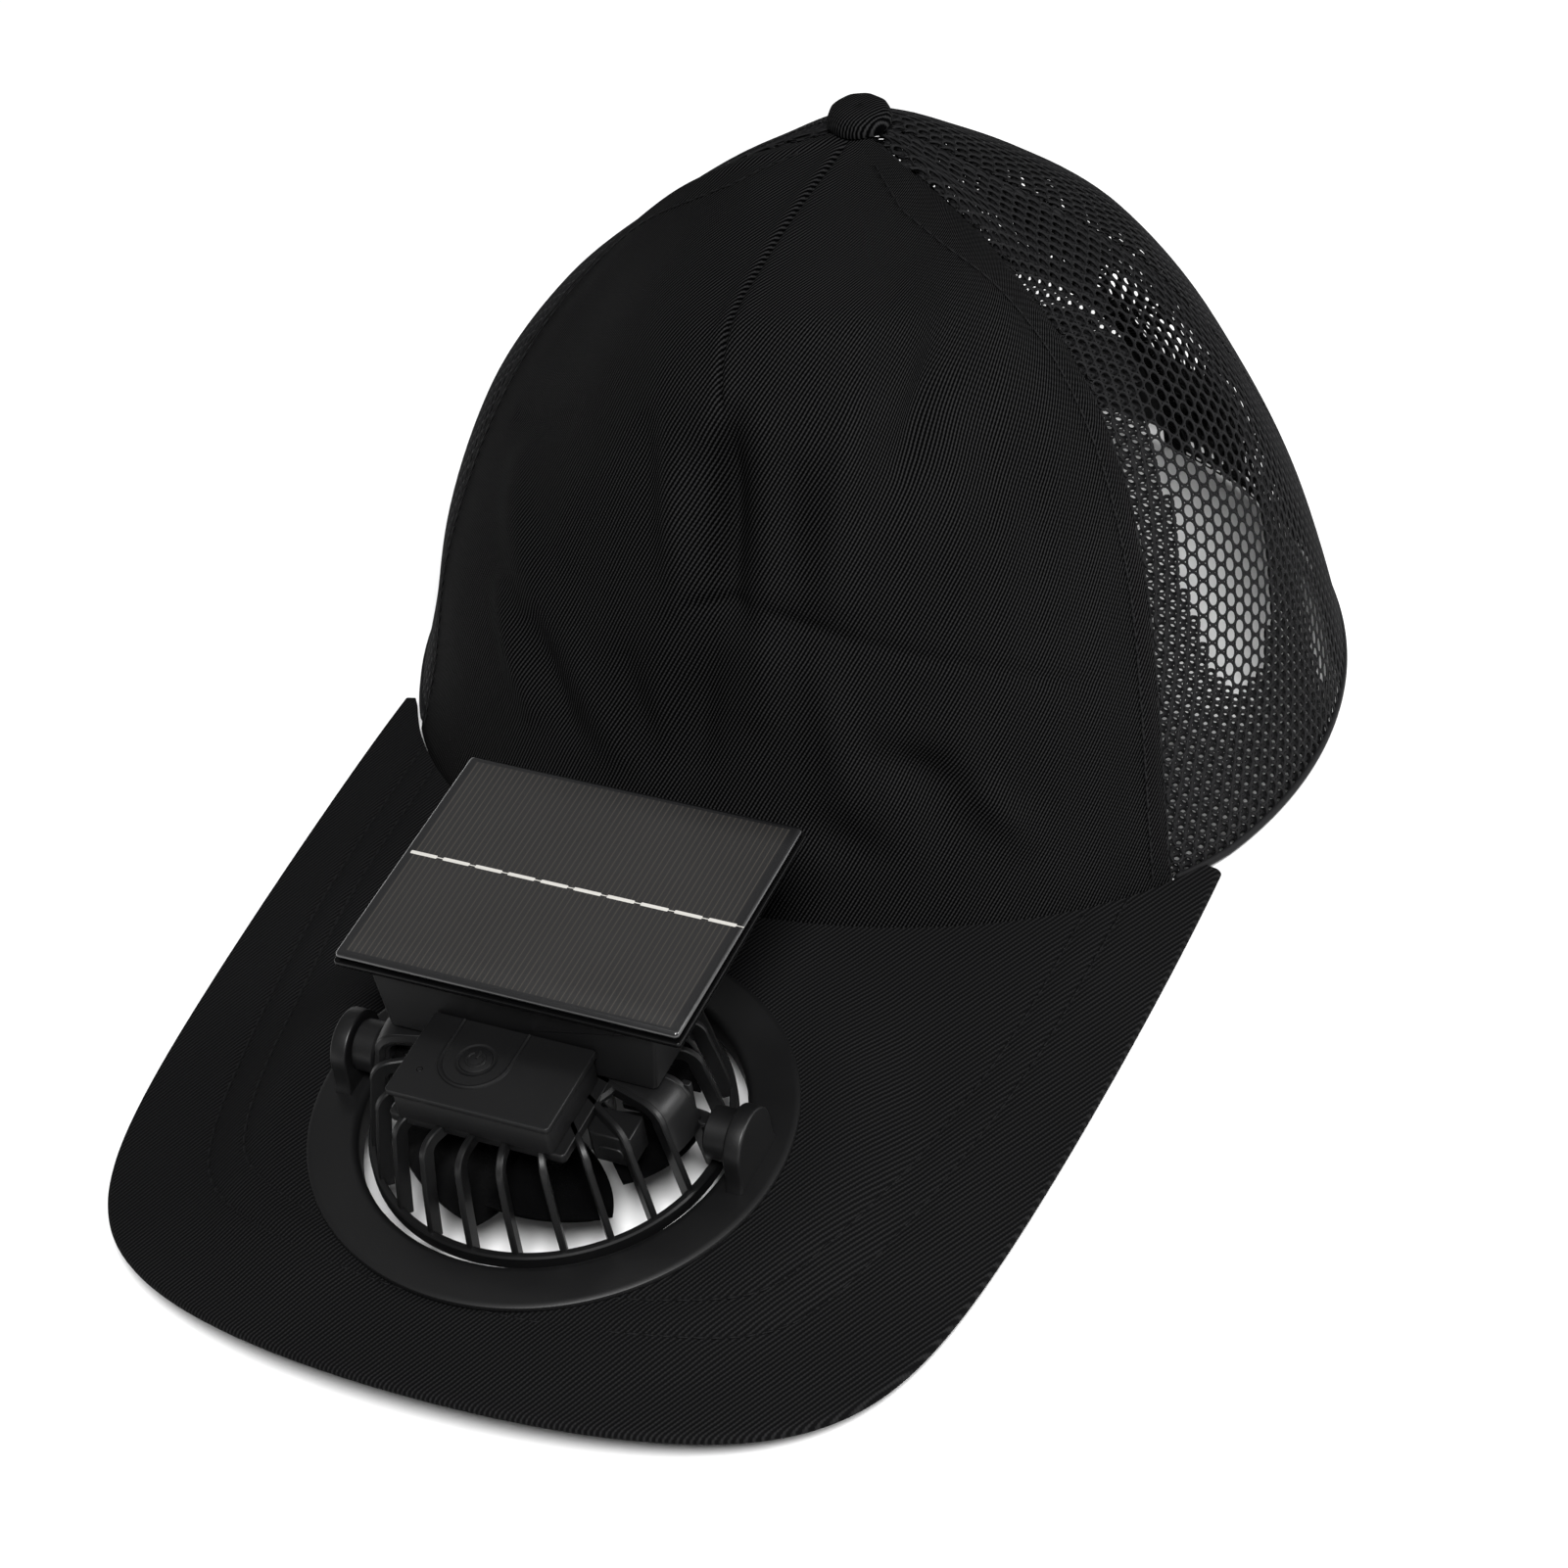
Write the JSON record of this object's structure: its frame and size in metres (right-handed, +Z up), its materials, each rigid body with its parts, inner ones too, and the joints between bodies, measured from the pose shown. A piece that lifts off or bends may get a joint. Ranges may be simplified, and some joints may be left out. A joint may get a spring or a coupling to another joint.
{
  "type": "solar fan hat",
  "caption": "Cap with a twill front, net sides and a long curved visor that carries a tilting solar fan with a control box, battery housing and panel",
  "frame": {"origin": "middle of the hat's footprint on the surface it rests on", "axes": "X across the hat with the wearer's left at +X, -Y towards the tip of the visor, +Z up to the crown's button"},
  "size_m": [0.2, 0.3134, 0.1237],
  "materials": {
    "twill": "matte cotton twill",
    "net": "knitted net with open holes",
    "webbing": "woven strap",
    "satin_black": "satin moulded",
    "gloss_black": "smooth moulded",
    "cell": "clear resin over a dark cell",
    "motor_can": "drawn steel can"
  },
  "bodies": {
    "cap": {"crown_front": "twill", "net_side_left": "net", "net_side_right": "net", "net_back_left": "net", "net_back_right": "net", "crown_button": "twill", "visor": "twill", "arch_binding": "twill", "rear_strap": "webbing", "strap_buckle": "gloss_black", "flange_ring": "satin_black", "retaining_ring": "satin_black"},
    "fan_head": {"fan_cage": "satin_black", "control_box": "satin_black", "battery_housing": "satin_black", "solar_backing": "gloss_black", "solar_cell": "cell", "motor": "motor_can"},
    "rotor": {"rotor": "gloss_black"},
    "button": {"power_button": "satin_black"}
  },
  "joints": [
    {"name": "fan_tilt", "type": "hinge", "parent": "cap", "child": "fan_head", "pos_m": [0, -0.09067, 0.0217], "axis": [1, 0, 0], "range_deg": [-15, 15]},
    {"name": "rotor_spin", "type": "hinge", "parent": "fan_head", "child": "rotor", "pos_m": [0, -0.09067, 0.023], "axis": [0, 0, 1], "continuous": true},
    {"name": "power_press", "type": "slide", "parent": "fan_head", "child": "button", "axis": [0, 0, -1], "range_m": [0, 0.0008], "stiffness_N_per_m": 400}
  ]
}
